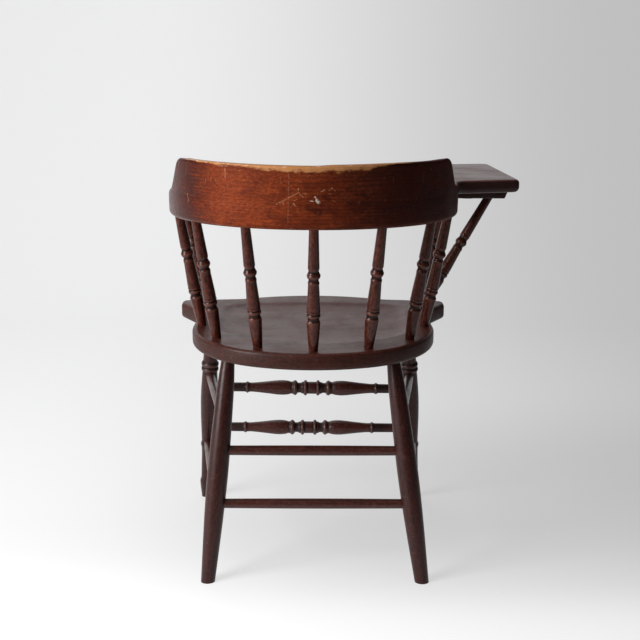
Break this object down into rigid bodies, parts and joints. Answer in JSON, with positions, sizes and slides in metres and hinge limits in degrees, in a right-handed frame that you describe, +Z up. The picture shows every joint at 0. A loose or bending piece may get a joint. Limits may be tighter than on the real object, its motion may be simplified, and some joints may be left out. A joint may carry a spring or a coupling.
{
  "type": "writing arm chair",
  "caption": "Writing-arm Windsor chair with a bowed arm rail, a leaning crest, turned spindles and splayed turned legs",
  "frame": {"origin": "on the floor, under the middle of the bounding box of the whole chair with its tablet", "axes": "+Z up; the sitter faces -Y; the sitter's left is +X and the writing tablet is at -X"},
  "size_m": [0.6478, 0.7424, 0.752],
  "materials": {
    "seat_wood": "worn satin, dark walnut stain",
    "bow_wood": "satin, red mahogany stain",
    "crest_wood": "satin, red mahogany stain, worn top arris",
    "tablet_wood": "satin, dark walnut stain",
    "spindle_wood": "satin, red mahogany stain",
    "leg_wood": "worn satin, dark stain",
    "stretcher_wood": "worn satin, dark stain",
    "dowel_wood": "raw",
    "screw_steel": "dull"
  },
  "bodies": {
    "root": {"arm_left": "bow_wood", "arm_right": "bow_wood", "arm_screws": "screw_steel", "back_spindle_center": "spindle_wood", "back_spindle_inner_left": "spindle_wood", "back_spindle_inner_right": "spindle_wood", "back_spindle_outer_left": "spindle_wood", "back_spindle_outer_right": "spindle_wood", "batten_screws": "screw_steel", "crest_dowels": "dowel_wood", "crest_rail": "crest_wood", "front_leg_left": "leg_wood", "front_leg_right": "leg_wood", "front_spindle_left": "spindle_wood", "front_spindle_right": "spindle_wood", "front_stretcher_lower": "stretcher_wood", "front_stretcher_upper": "stretcher_wood", "rear_leg_left": "leg_wood", "rear_leg_right": "leg_wood", "rear_stretcher_lower": "stretcher_wood", "rear_stretcher_upper": "stretcher_wood", "seat": "seat_wood", "side_spindle_left": "spindle_wood", "side_spindle_right": "spindle_wood", "side_stretcher_left_lower": "stretcher_wood", "side_stretcher_left_upper": "stretcher_wood", "side_stretcher_right_lower": "stretcher_wood", "side_stretcher_right_upper": "stretcher_wood", "tablet_batten": "tablet_wood", "tablet_brace": "spindle_wood", "writing_tablet": "tablet_wood"}
  },
  "joints": []
}
